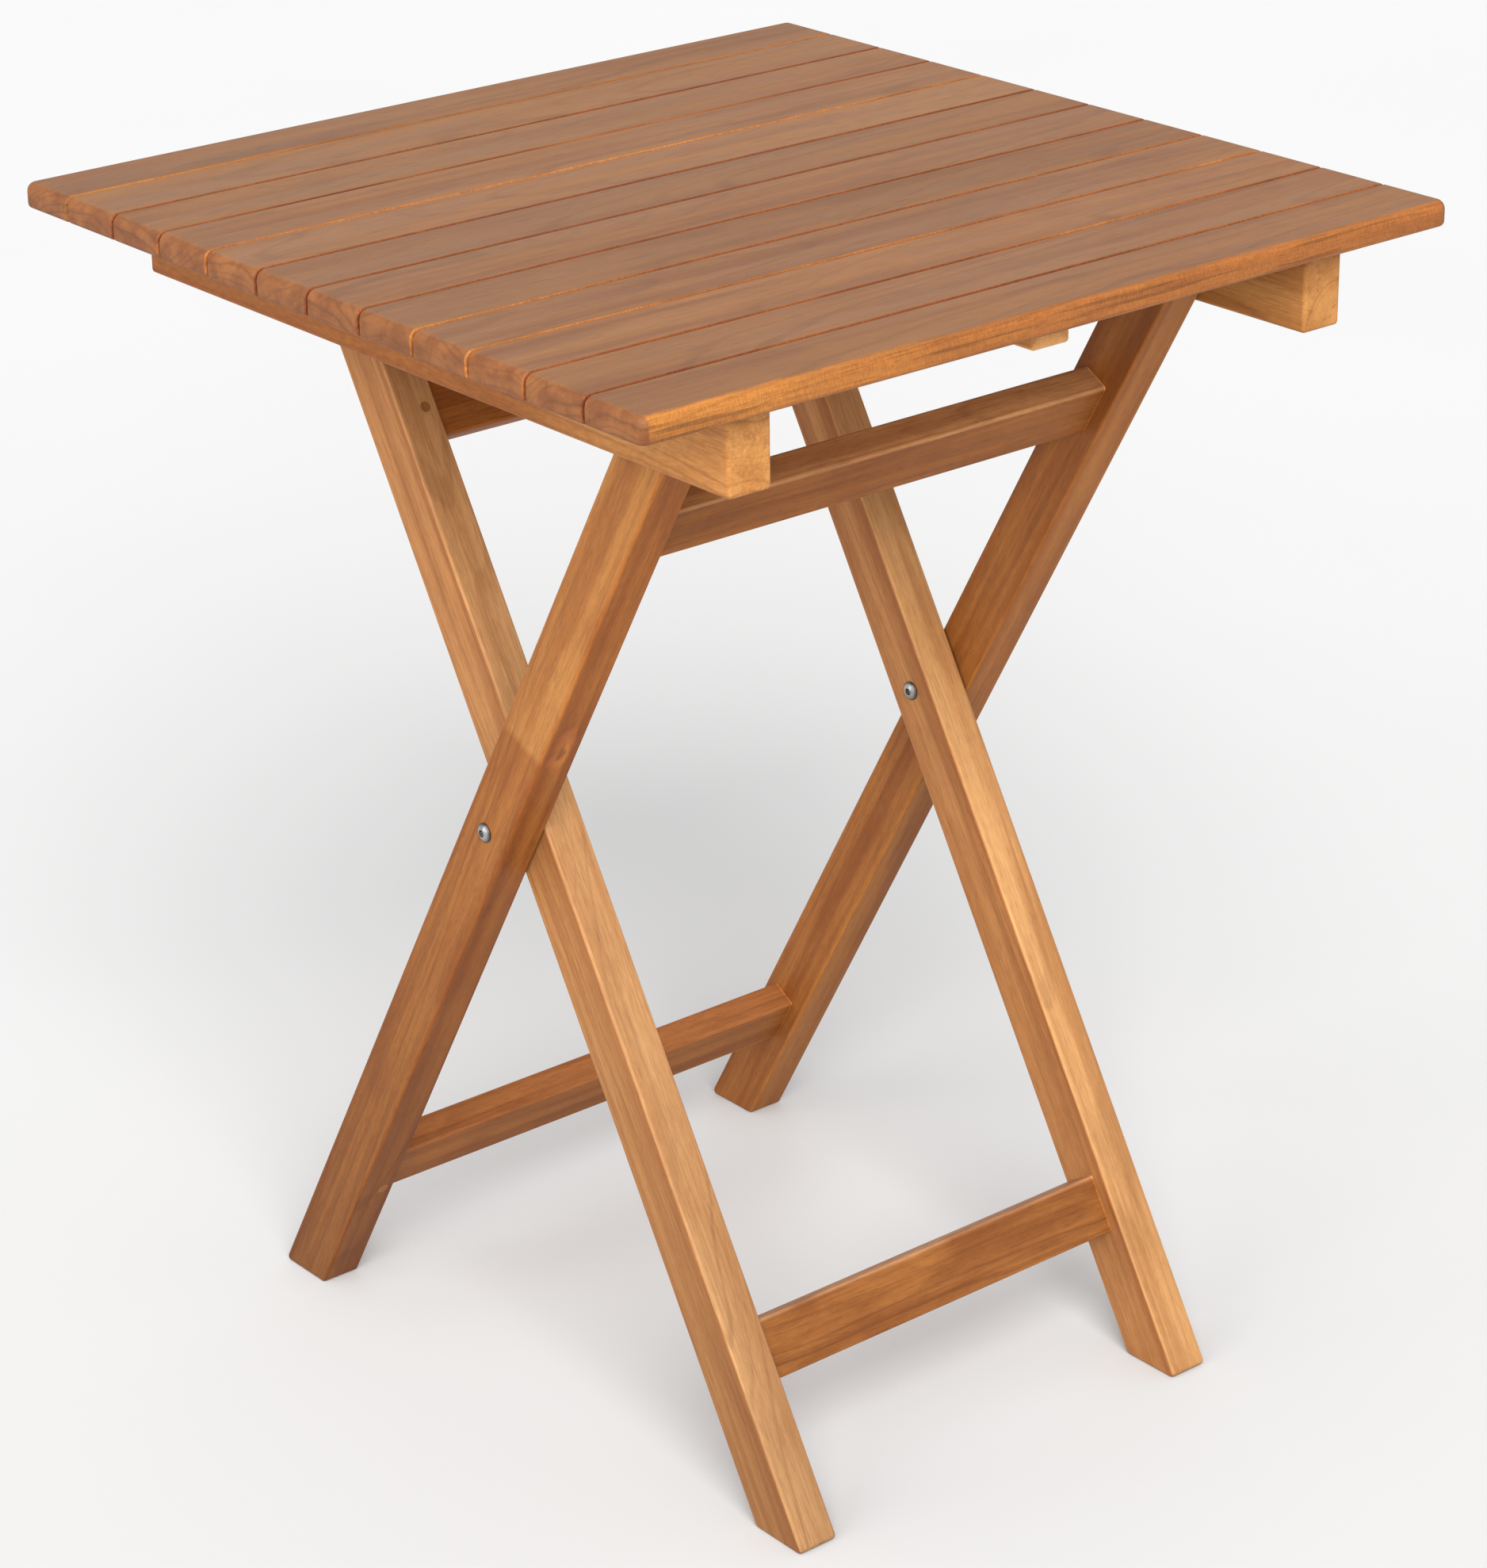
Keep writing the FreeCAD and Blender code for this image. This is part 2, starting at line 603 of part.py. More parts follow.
def make_headed(label, seat, outward, shank_radius, shank_end, bore=None):
    """A domed head and its shank around the X axis. seat is the head's flat face, outward the sign of
    X away from the wood and shank_end the far end of the shank. bore hollows the shank from its end."""
    body = new_body(label)
    rim = f"{seat} + {outward} * sizes.head_rim"
    crown = f"{seat} + {outward} * sizes.head_height"
    rise = number("sizes.head_height - sizes.head_rim")
    reach = number("sizes.head_radius")
    dome_radius = (reach**2 + rise**2) / (2 * rise)
    drop = dome_radius - math.sqrt(dome_radius**2 - (reach / 2) ** 2)
    dome = (4, (number(crown) - outward * drop, reach / 2))
    profile = [
        (shank_end, "0"),
        (shank_end, shank_radius),
        (seat, shank_radius),
        (seat, "sizes.head_radius"),
        (rim, "sizes.head_radius"),
        (crown, "0"),
    ]
    revolve(body, outline(body, f"{label}_profile", "XZ_Plane", profile, dome=dome))
    cut_socket(body, f"{label}_socket", crown, -outward)
    if bore is not None:
        sketch = circle(body, f"{label}_bore", "YZ_Plane", "0", "0", bore, lift=shank_end)
        pocket(body, sketch, "sizes.thread_reach", reverse=outward > 0)
    return body


def make_leg_pivot(side):
    """Bolt, barrel nut and washer where an outer and an inner leg cross."""
    name = NAMES[side]
    outside = f"{side} * (sizes.outer_face + sizes.leg_thickness)"
    bolt = make_headed(
        f"pivot_bolt_{name}",
        outside,
        side,
        "sizes.thread_radius",
        f"{outside} - {side} * sizes.thread_reach",
    )
    inside = f"{side} * (sizes.inner_face - sizes.face_gap)"
    nut = make_headed(
        f"pivot_nut_{name}",
        inside,
        -side,
        "sizes.pivot_radius",
        f"{outside} - {side} * sizes.barrel_short",
        bore="sizes.thread_radius + sizes.thread_gap",
    )
    washer = make_ring(
        f"pivot_washer_{name}",
        f"{side} * (sizes.inner_face + sizes.leg_thickness + sizes.face_gap)",
        f"{side} * (sizes.outer_face - sizes.face_gap)",
        PIVOT_HOLE,
        "sizes.washer_radius",
    )
    for body in (bolt, nut, washer):
        place(body, y="-sizes.pivot_place", z="sizes.pivot_height")


def make_top_pivot(side):
    """Bolt from inside the outer leg into a blind insert in the side batten, with a washer between."""
    name = NAMES[side]
    bolt = make_headed(
        f"top_pivot_bolt_{name}",
        f"{side} * (sizes.outer_face - sizes.face_gap)",
        -side,
        "sizes.pivot_radius",
        f"{side} * (sizes.batten_face + sizes.top_bolt_reach)",
    )
    washer = make_ring(
        f"top_pivot_washer_{name}",
        f"{side} * (sizes.outer_face + sizes.leg_thickness + sizes.face_gap)",
        f"{side} * (sizes.batten_face - sizes.face_gap)",
        PIVOT_HOLE,
        "sizes.washer_radius",
    )
    insert = make_ring(
        f"top_pivot_insert_{name}",
        f"{side} * sizes.batten_face",
        f"{side} * (sizes.batten_face + sizes.insert_length)",
        PIVOT_HOLE,
        "sizes.insert_radius",
    )
    for body in (bolt, washer, insert):
        place(body, y=TOP_PIVOT_Y, z=TOP_PIVOT_Z)


def make_top():
    """Slats, battens, screws and stop cleats."""
    count = int(number("sizes.slat_count"))
    for index in range(count):
        make_slat(index, count)
    left, middle, right = batten_lines()
    make_batten("batten_left", left, "sizes.batten_thickness", "sizes.batten_depth", side=LEFT)
    make_batten("batten_middle", middle, "sizes.middle_batten_width", "sizes.middle_batten_depth")
    make_batten("batten_right", right, "sizes.batten_thickness", "sizes.batten_depth", side=RIGHT)
    for name, x in zip(("left", "middle", "right"), (left, middle, right)):
        make_screw_row(f"batten_screws_{name}", x)
    for side in (LEFT, RIGHT):
        make_cleat(side)


def make_frame(frame):
    """Two legs, two rails and four pegs."""
    for side in (LEFT, RIGHT):
        make_leg(frame, side)
    for level, along in rail_lines().items():
        make_rail(frame, level, along)
        for side in (LEFT, RIGHT):
            make_peg(frame, level, along, side)


def check_document():
    """Stops if any object failed or any sub-part is empty or broken."""
    for item in doc.Objects:
        if "Invalid" in item.State or "Error" in item.State:
            raise RuntimeError(f"{item.Label} failed: {item.State}")
    for body in parts:
        if body.Shape.isNull() or not body.Shape.isValid() or not body.Shape.Solids:
            raise RuntimeError(f"{body.Label} has no sound shape")


def export_parts():
    """One STEP file to a sub-part."""
    os.makedirs("parts", exist_ok=True)
    for body in parts:
        body.Shape.exportStep(f"parts/{body.Label}.step")
        print(f"{body.Label}: {len(body.Shape.Solids)} solid, {body.Shape.Volume / 1000:.2f} cm3")


fill_sheet()
make_top()
make_frame("outer")
make_frame("inner")
for pivot_side in (LEFT, RIGHT):
    make_leg_pivot(pivot_side)
    make_top_pivot(pivot_side)
doc.recompute()
check_document()
export_parts()
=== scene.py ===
"""Looks of the folding picnic table: camera, soft light, and procedural wood and metal on its parts."""

import math
import operator
import random

import bpy
from mathutils import Matrix, Vector


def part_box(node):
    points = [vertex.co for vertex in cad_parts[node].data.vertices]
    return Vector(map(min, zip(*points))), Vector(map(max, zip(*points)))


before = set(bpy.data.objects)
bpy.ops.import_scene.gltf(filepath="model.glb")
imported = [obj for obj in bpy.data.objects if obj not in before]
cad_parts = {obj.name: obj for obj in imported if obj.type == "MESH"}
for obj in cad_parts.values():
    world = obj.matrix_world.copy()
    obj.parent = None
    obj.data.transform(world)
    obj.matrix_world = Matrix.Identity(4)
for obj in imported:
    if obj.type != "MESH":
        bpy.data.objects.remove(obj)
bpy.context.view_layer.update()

# Camera: a long lens looking down on the corner where the slats' ends meet the near long edge.
CAMERA_PLACE = (-1.5960, -1.9625, 1.4588)
CAMERA_HEADING = -39.244
CAMERA_PITCH = 66.668
CAMERA_ROLL = -0.823
CAMERA_LENS = 101.21
CAMERA_SENSOR = 36.0

# Light: the strength of the even surround, and broad suns as (heading, height, strength, spread).
SURROUND = 0.80
SUNS = {"key": (33.0, 38.0, 3.6, 40.0), "left_fill": (95.0, 15.0, 1.6, 60.0)}

FLOOR_REACH = 80.0
FLOOR_DROP = 0.0002
FLOOR_SHADES = ((0.565, 0.565, 0.565), (0.575, 0.575, 0.575))

# How far each leg frame leans about X, in degrees. A frame's rails and pegs lean with its legs.
LEANS = {"outer": 29.8, "inner": -30.4}

# Wood colours, in linear light: the pale and deep ends of the broad bands, and the thin late-wood lines.
TOP_WOOD = {"pale": (0.235, 0.095, 0.031), "deep": (0.160, 0.058, 0.019), "line": (0.10, 0.032, 0.011)}
BATTEN_WOOD = {"pale": (0.47, 0.215, 0.062), "deep": (0.38, 0.155, 0.040), "line": (0.22, 0.078, 0.020)}
OUTER_LEG_WOOD = {"pale": (0.345, 0.142, 0.034), "deep": (0.235, 0.081, 0.018), "line": (0.13, 0.039, 0.009)}
INNER_LEG_WOOD = {"pale": (0.37, 0.160, 0.052), "deep": (0.27, 0.102, 0.030), "line": (0.17, 0.058, 0.017)}
RAIL_WOOD = {"pale": (0.31, 0.108, 0.022), "deep": (0.205, 0.062, 0.012), "line": (0.11, 0.031, 0.007)}

# The two colours of the film on the slats' upper faces: dust, and painted sheen.
DUST_AND_SHEEN_PINK = (0.216, 0.103, 0.047)
DUST_AND_SHEEN_TAN = (0.242, 0.106, 0.034)

# What multiplies a slat's wood on its rounded edges, at their left end, and on its end grain, and the painted
# highlight and painted shade beside its seams.
EDGE_TINT = (1.36, 1.10, 0.56)
EDGE_GOLD_TINT = (1.92, 1.80, 0.92)
END_TINT = (1.03, 0.90, 0.68)
SEAM_HIGHLIGHT_TINT = (1.80, 1.55, 0.92)
SEAM_SHADE_TINT = (0.92, 0.60, 0.36)

# What multiplies a wood's colour in a line of glue and in the painted highlight on a peg's rim, on a rubbed
# arris that also has a painted highlight, and around a knot.
GLUE_AND_HIGHLIGHT_TINT = (1.9, 1.9, 1.7)
RUBBED_AND_HIGHLIGHT_TINT = (1.40, 1.40, 1.35)
HALO_TINT = (1.55, 1.60, 1.90)

# The faces of a board that have a colour of their own, of wood or of painted light or shade: the way across
# that they look, 1 or 2, and its sign.
LEFT_FACE = (1, -1)
NEAR_FACE = (2, -1)
UPPER_FACE = (2, 1)

# How deep a layer goes that shows on one face only, in metres.
SKIN = 0.003

# How growth rings are drawn, in metres: their spacing, how far aside and below the tree's middle lies,
# how far they sway, and how much the middle moves aside and up in a metre of the board.
RING_SPACING = (0.0028, 0.0042)
PITH_ASIDE = (0.004, 0.030)
PITH_BELOW = (0.030, 0.085)
RING_SWAY = 0.030
RISE_ASIDE = (-0.03, 0.03)
RISE_UP = (0.02, 0.07)

# The furthest that a board's noises are moved, in metres, so that no two boards match.
NOISE_SHIFT = 9.0

# The pale rim of a peg, a painted highlight, as shares of its radius, and the painted shade in the socket and
# on the rim of a pivot head, as radii.
PEG_RIM_HIGHLIGHT = (0.86, 0.95)
HEAD_SOCKET_SHADE = (0.0018, 0.0026)
HEAD_RIM_SHADE = (0.0038, 0.0060)

# Fine relief: its strength, and its depth in metres.
WOOD_RELIEF = (0.25, 0.0002)
METAL_RELIEF = (0.12, 0.0001)

# The noises of metal, in grains per metre.
PATCH_GRAINS = (160.0, 160.0, 160.0)
SCRATCH_GRAINS = (900.0, 3600.0, 900.0)

# The noises of a board: grains per metre along the grain and across it, detail, roughness, distortion.
NOISES = {
    "ring sway": (3.2, 14.0, 2.0, 0.5, 0.0),
    "bands": (2.0, 75.0, 3.0, 0.55, 0.0),
    "mottle": (13.0, 40.0, 3.0, 0.5, 0.6),
    "veins": (1.3, 150.0, 2.0, 0.6, 0.0),
    "fibre": (18.0, 900.0, 2.0, 0.6, 0.0),
    "pores": (90.0, 2200.0, 0.0, 0.5, 0.0),
    "flecks": (160.0, 420.0, 2.0, 0.65, 0.0),
    "layer edge": (5.0, 40.0, 2.0, 0.5, 0.0),
    "stain edge": (30.0, 90.0, 2.0, 0.5, 0.0),
    "knot edge": (90.0, 160.0, 3.0, 0.5, 0.0),
    "glue edge": (400.0, 250.0, 2.0, 0.5, 0.0),
    "arris edge": (60.0, 300.0, 2.0, 0.5, 0.0),
    "rim gaps": (200.0, 300.0, 1.0, 0.5, 0.0),
    "edge flecks": (1500.0, 330.0, 1.0, 0.5, 0.0),
    "edge grains": (9.0, 420.0, 2.0, 0.5, 0.0),
    "seam highlight": (5.0, 20.0, 3.0, 0.6, 0.0),
    "face edge": (30.0, 220.0, 2.0, 0.5, 0.0),
    "dust streaks": (3.0, 45.0, 3.0, 0.5, 0.0),
    "dust hairs": (55.0, 900.0, 1.0, 0.5, 0.0),
    "dust patches": (3.0, 40.0, 4.0, 0.6, 0.0),
}


class Graph:
    """Adds shader nodes to a material and wires them up."""

    def __init__(self, material):
        material.use_nodes = True
        self.tree = material.node_tree
        self.tree.nodes.clear()

    def put(self, socket, value):
        """Sets a socket to a constant, or wires it to another node's output."""
        if isinstance(value, bpy.types.NodeSocket):
            self.tree.links.new(value, socket)
        elif isinstance(value, (int, float)):
            socket.default_value = value
        elif len(socket.default_value) == 4 and len(value) == 3:
            socket.default_value = (*value, 1.0)
        else:
            socket.default_value = value

    def add(self, kind, values=(), **settings):
        node = self.tree.nodes.new("ShaderNode" + kind)
        for key, value in settings.items():
            setattr(node, key, value)
        for key, value in dict(values).items():
            self.put(node.inputs[key], value)
        return node

    def math(self, operation, a, b=0.0, c=0.0):
        return self.add("Math", {0: a, 1: b, 2: c}, operation=operation).outputs[0]

    def scaled(self, vector, factors):
        return self.add("VectorMath", {0: vector, 1: factors}, operation="MULTIPLY").outputs[0]

    def offset(self, vector, point):
        return self.add("VectorMath", {0: vector, 1: point}, operation="SUBTRACT").outputs[0]

    def length(self, vector):
        return self.add("VectorMath", {0: vector}, operation="LENGTH").outputs["Value"]

    def noise(self, vector, factors, detail=2.0, roughness=0.5, distortion=0.0):
        """Noise between about 0 and 1, whose grains are 1/factors long, in metres, along each axis."""
        values = {"Vector": self.scaled(vector, factors), "Scale": 1.0, "Detail": detail}
        values |= {"Roughness": roughness, "Distortion": distortion}
        return self.add("TexNoise", values).outputs["Fac"]

    def span(self, value, low, high, to_low=0.0, to_high=1.0):
        """Maps low..high smoothly to to_low..to_high and holds it there outside."""
        keys = {"Value": value, "From Min": low, "From Max": high, "To Min": to_low, "To Max": to_high}
        return self.add("MapRange", keys, interpolation_type="SMOOTHSTEP").outputs["Result"]

    def mix(self, factor, a, b, blend="MIX"):
        node = self.add("Mix", data_type="RGBA", blend_type=blend)
        self.put(node.inputs[0], factor)
        self.put(node.inputs[6], a)
        self.put(node.inputs[7], b)
        return node.outputs[2]

    def tinted(self, colour, tint, share=1.0):
        """Multiplies a colour by another where share is 1, and leaves it where share is 0."""
        product = self.mix(1.0, colour, tint, "MULTIPLY")
        return self.mix(share, colour, product)

    def shaded(self, colour, factor):
        """Multiplies a colour by one number that varies over the surface."""
        grey = self.add("CombineColor", {0: factor, 1: factor, 2: factor}).outputs[0]
        return self.mix(1.0, colour, grey, "MULTIPLY")

    def finish(self, colour, roughness, bump=None, gloss=0.5, metallic=0.0):
        """The surface shader. bump is (height, strength, depth in metres)."""
        surface = self.add("BsdfPrincipled", {"Base Color": colour, "Roughness": roughness})
        surface.inputs["Specular IOR Level"].default_value = gloss
        surface.inputs["Metallic"].default_value = metallic
        if bump:
            height, strength, depth = bump
            relief = self.add("Bump", {"Strength": strength, "Distance": depth, "Height": height})
            self.put(surface.inputs["Normal"], relief.outputs[0])
        output = self.add("OutputMaterial")
        self.tree.links.new(surface.outputs[0], output.inputs[0])


def dress(node, material):
    node.data.materials.clear()
    node.data.materials.append(material)


def extent(node, lean):
    """The middle of a straight piece, and its half sizes in axes that lean with it about X."""
    upright = Matrix.Rotation(-math.radians(lean), 3, "X")
    points = [upright @ vertex.co for vertex in node.data.vertices]
    low = Vector([min(point[axis] for point in points) for axis in range(3)])
    high = Vector([max(point[axis] for point in points) for axis in range(3)])
    middle = upright.transposed() @ ((low + high) / 2)
    return middle, (high - low) / 2


class Board:
    """A piece of wood: where it lies, and the nodes that its colour is made from.

    Its own axes run from its middle: along the grain, then the two ways across.
    """

    def __init__(self, name, lean=0.0, grain=0, like=None):
        """grain is the axis of the grain, and like names the board whose figure this piece shares."""
        source = like or name
        self.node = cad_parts[name]
        self.chance = random.Random(source)
        self.material = bpy.data.materials.new("wood_" + name)
        self.graph = Graph(self.material)
        self.lean = lean
        self.order = [grain] + [axis for axis in range(3) if axis != grain]
        self.middle, half = extent(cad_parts[source], lean)
        self.half = [half[axis] for axis in self.order]
        self.set_axes([self.chance.uniform(-NOISE_SHIFT, NOISE_SHIFT) for _ in range(3)])

    def set_axes(self, shift):
        """self.parts are the distances from the middle. self.place is moved, so no two boards match."""
        graph = self.graph
        world = graph.add("TexCoord").outputs["Object"]
        values = {"Vector": world, "Location": self.middle, "Rotation": (math.radians(self.lean), 0.0, 0.0)}
        turned = graph.add("Mapping", values, vector_type="TEXTURE").outputs[0]
        parts = graph.add("SeparateXYZ", {0: turned}).outputs
        self.parts = [parts[axis] for axis in self.order]
        self.local = graph.add("CombineXYZ", dict(enumerate(self.parts))).outputs[0]
        self.place = graph.add("VectorMath", {0: self.local, 1: shift}, operation="ADD").outputs[0]

    def local_point(self, place):
        """A point of the world in the board's own axes."""
        turn = Matrix.Rotation(-math.radians(self.lean), 3, "X")
        point = turn @ (Vector(place) - self.middle)
        return tuple(point[axis] for axis in self.order)

    def noise(self, kind):
        along, across, detail, roughness, distortion = NOISES[kind]
        return self.graph.noise(self.place, (along, across, across), detail, roughness, distortion)

    def waver(self, kind, width):
        """Noise about zero, between about half of width each way."""
        return self.graph.math("MULTIPLY", self.graph.math("SUBTRACT", self.noise(kind), 0.5), width)

    def growth_rings(self, spacing):
        """Late-wood lines of a board sawn off the tree's middle, as thin uneven arches along the grain."""
        graph, chance = self.graph, self.chance
        side = chance.choice((-1, 1))
        piths = (side * chance.uniform(*PITH_ASIDE), -chance.uniform(*PITH_BELOW))
        rises = (chance.uniform(*RISE_ASIDE), side * chance.uniform(*RISE_UP))
        squares = []
        for part, pith, rise in zip(self.parts[1:], piths, rises):
            tilt = graph.math("MULTIPLY", self.parts[0], rise)
            from_pith = graph.math("SUBTRACT", graph.math("ADD", part, tilt), pith)
            squares.append(graph.math("POWER", from_pith, 2.0))
        radius = graph.math("SQRT", graph.math("ADD", *squares))
        turns = graph.math("DIVIDE", graph.math("ADD", radius, self.waver("ring sway", RING_SWAY)), spacing)
        values = {"W": turns, "Scale": 1.0, "Detail": 2.5, "Roughness": 0.6}
        return graph.add("TexNoise", values, noise_dimensions="1D").outputs["Fac"]

    def wood(self, look, figure=0.5, tone=1.0, shade=(1.0, 1.0, 1.0), drift=0.0, fleck=0.05, blotch=0.3,
             streak=0.4):
        """Bands, veins, late-wood lines, fibre and pores.

        figure, fleck, blotch and streak are how strong the late-wood lines, flecks, mottle and veins are.
        tone multiplies the brightness, and drift is how much it grows from the middle to the end, as painted
        light and shade along the board. shade multiplies the look's colours.
        """
        look = {part: tuple(map(operator.mul, colour, shade)) for part, colour in look.items()}
        graph = self.graph
        self.rings = self.growth_rings(self.chance.uniform(*RING_SPACING))
        self.fibre = self.noise("fibre")
        self.pores = self.noise("pores")

        bands = graph.math("MULTIPLY", self.noise("bands"), 1.0 - blotch)
        blend = graph.math("ADD", bands, graph.math("MULTIPLY", self.noise("mottle"), blotch))
        colour = graph.mix(graph.span(blend, 0.36, 0.64), look["deep"], look["pale"])
        colour = graph.mix(graph.span(self.noise("veins"), 0.56, 0.70, 0.0, streak), colour, look["line"])
        late = graph.math("MULTIPLY", graph.span(self.rings, 0.52, 0.74), figure)
        colour = graph.mix(late, colour, look["line"])
        colour = graph.shaded(colour, graph.span(self.fibre, 0.2, 0.8, 0.88 * tone, 1.12 * tone))
        flecks = graph.span(self.noise("flecks"), 0.25, 0.75, 1.0 - fleck, 1.0 + fleck)
        colour = graph.shaded(colour, flecks)
        # Painted light and shade: the board grows brighter towards one end.
        if drift:
            slope = drift / self.half[0]
            colour = graph.shaded(colour, graph.math("MULTIPLY_ADD", self.parts[0], slope, 1.0))
        return graph.mix(graph.span(self.pores, 0.62, 0.72, 0.0, 0.35), colour, look["line"])

    def beside(self, face, reach):
        """1 at one face of the board, 0 further in than reach."""
        graph = self.graph
        way, sign = face
        inward = graph.math("ADD", graph.math("MULTIPLY", self.parts[way], -sign), self.half[way])
        wavy = graph.math("ADD", inward, self.waver("layer edge", 1.2 * reach))
        return graph.span(wavy, reach * 0.2, reach, 1.0, 0.0)

    def layer(self, colour, face, tint, reach=SKIN, fade=None):
        """Another colour near one face: other wood on some boards, painted light or shade on others. fade is
        where along the grain it starts and is full.
        """
        share = self.beside(face, reach)
        if fade:
            share = self.graph.math("MULTIPLY", share, self.graph.span(self.parts[0], *fade))
        return self.graph.tinted(colour, tint, share)

    def stain(self, colour, face, start, slope, tint):
        """A change of colour on one face, below a slanting line that is start from the board's middle."""
        graph = self.graph
        beyond = graph.math("ADD", self.parts[0], graph.math("MULTIPLY", self.parts[2], slope))
        beyond = graph.math("ADD", beyond, self.waver("stain edge", 0.010))
        below = graph.span(beyond, start - 0.005, start + 0.002, 1.0, 0.0)
        return graph.tinted(colour, tint, graph.math("MULTIPLY", below, self.beside(face, SKIN)))

    def knot(self, colour, place, line, size=0.011):
        """A small knot at a point given in metres: a dark heart inside paler wood, long along the grain."""
        graph = self.graph
        offset = graph.offset(self.local, self.local_point(place))
        offset = graph.scaled(offset, (0.5 / size, 1.0 / size, 1.0 / size))
        radius = graph.math("ADD", graph.length(offset), self.waver("knot edge", 0.9))
        colour = graph.tinted(colour, HALO_TINT, graph.span(radius, 0.45, 1.0, 0.75, 0.0))
        return graph.mix(graph.span(radius, 0.10, 0.40, 0.7, 0.0), colour, line)

    def glue(self, colour, shoulder):
        """Raised fibre and glue in a thin pale line where a rail meets its legs, shoulder from the middle."""
        graph = self.graph
        gap = graph.math("SUBTRACT", shoulder, graph.math("ABSOLUTE", self.parts[0]))
        gap = graph.math("ADD", gap, self.waver("glue edge", 0.0016))
        return graph.tinted(colour, GLUE_AND_HIGHLIGHT_TINT, graph.span(gap, 0.0004, 0.0011, 0.8, 0.0))

    def wear_and_highlight(self, colour, strength=0.3, reach=0.0022):
        """Lightens the arrises that run along the grain, fading out raggedly over the reach: rubbed wear, and
        a painted highlight.
        """
        graph = self.graph
        gaps = []
        for part, half in zip(self.parts[1:], self.half[1:]):
            gaps.append(graph.math("SUBTRACT", half, graph.math("ABSOLUTE", part)))
        gap = graph.math("ADD", graph.math("MAXIMUM", *gaps), self.waver("arris edge", reach * 1.6))
        return graph.tinted(colour, RUBBED_AND_HIGHLIGHT_TINT, graph.span(gap, reach * 0.3, reach, strength, 0.0))

    def finish(self, colour, roughness=(0.45, 0.60), gloss=0.16):
        graph = self.graph
        height = graph.math("SUBTRACT", self.fibre, graph.span(self.pores, 0.60, 0.74))
        graph.finish(colour, graph.span(self.fibre, 0.3, 0.7, *roughness), (height, *WOOD_RELIEF), gloss)
        dress(self.node, self.material)


def plain_wood(name, look, lean=0.0, grain=0, extras=(), **settings):
    """A board's wood. extras are (method of Board, its arguments after the colour), in order."""
    board = Board(name, lean, grain)
    colour = board.wood(look, **settings)
    for method, arguments in extras:
        colour = method(board, colour, *arguments)
    board.finish(board.wear_and_highlight(colour))


def peg_wood(name, leg, look, lean):
    """A peg, of the same wood as its leg but a little darker, with a thin broken pale rim that is a painted
    highlight.
    """
    board = Board(name, lean, grain=2, like=leg)
    graph = board.graph
    colour = board.wood(look, figure=0.35, tone=0.88)
    middle, half = extent(board.node, lean)
    squares = []
    for part, centre in zip(board.parts[:2], board.local_point(middle)):
        squares.append(graph.math("POWER", graph.math("SUBTRACT", part, centre), 2.0))
    radius = graph.math("SQRT", graph.math("ADD", *squares))
    peg_radius = half.x
    # Painted highlight: a thin broken pale ring round the peg's rim.
    rim_highlight = graph.span(radius, *(peg_radius * share for share in PEG_RIM_HIGHLIGHT))
    rim_highlight = graph.math("MULTIPLY", rim_highlight, graph.span(board.noise("rim gaps"), 0.45, 0.60))
    board.finish(graph.tinted(colour, GLUE_AND_HIGHLIGHT_TINT, rim_highlight))


def slat_edge(board, dry, normal, flecks):
    """The rounded edges of a slat, golden towards the left, and its end grain."""
    graph = board.graph
    golden = graph.span(board.parts[0], -board.half[0], 0.0, 1.0, 0.0)
    edge = graph.mix(1.0, dry, graph.mix(golden, EDGE_TINT, EDGE_GOLD_TINT), "MULTIPLY")
    edge = graph.shaded(edge, graph.span(flecks, 0.32, 0.68, 0.86, 1.12))
    edge = graph.shaded(edge, graph.span(board.noise("edge grains"), 0.54, 0.66, 1.04, 0.66))
    end = graph.shaded(graph.tinted(dry, END_TINT), graph.span(board.rings, 0.35, 0.65, 1.05, 0.94))
    at_end = graph.span(graph.math("ABSOLUTE", normal[0]), 0.10, 0.40)
    return graph.mix(at_end, edge, end)


def slat_seams(board, dry, edge, flecks, seam_highlight):
    """The edges of a slat beside its seams: painted shade of the gap, with more stretches of painted
    highlight, where the gap walls catch light, as seam_highlight nears 1.
    """
    graph = board.graph
    shining = graph.span(board.noise("seam highlight"), 0.66 - 0.5 * seam_highlight, 0.96 - 0.5 * seam_highlight)
    # Painted highlight where the gap walls catch light, over painted shade of the gap.
    seam = graph.mix(1.0, dry, graph.mix(shining, SEAM_SHADE_TINT, SEAM_HIGHLIGHT_TINT), "MULTIPLY")
    seam = graph.shaded(seam, graph.span(flecks, 0.35, 0.65, 0.8, 1.2))
    gap = graph.math("SUBTRACT", board.half[1], graph.math("ABSOLUTE", board.parts[1]))
    return graph.mix(graph.span(gap, 0.0005, 0.0013, 1.0, 0.0), edge, seam)


